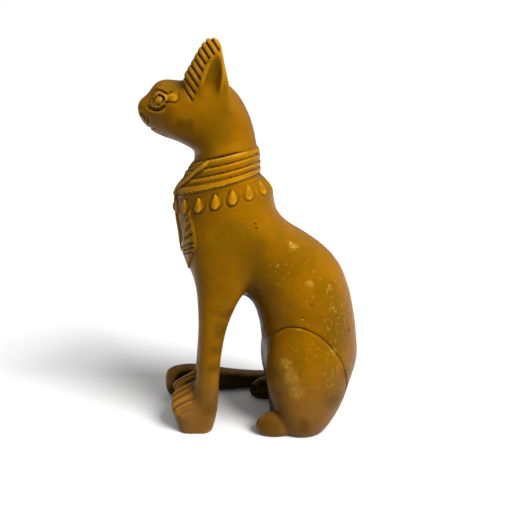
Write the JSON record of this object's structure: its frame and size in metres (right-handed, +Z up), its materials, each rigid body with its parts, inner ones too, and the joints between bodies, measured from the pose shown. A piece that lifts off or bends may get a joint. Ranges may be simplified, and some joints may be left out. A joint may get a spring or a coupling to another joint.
{
  "type": "bastet cat figure",
  "caption": "Seated slender temple cat cast in one piece, with a banded collar, drop beads, a winged chest pendant and its tail laid along one side; it stands by its own weight.",
  "frame": {"origin": "middle of the figure's footprint box, on the ground", "axes": "+Z up, the cat looks along -Y, its left side is +X and its tail lies on the -X side"},
  "size_m": [0.0732, 0.1144, 0.2],
  "materials": {
    "amber_resin": "cast resin in deep amber ochre with dark stain in the carving, worn pale edges and a waxed sheen"
  },
  "bodies": {
    "root": {"cat_figure": "amber_resin"}
  },
  "joints": []
}
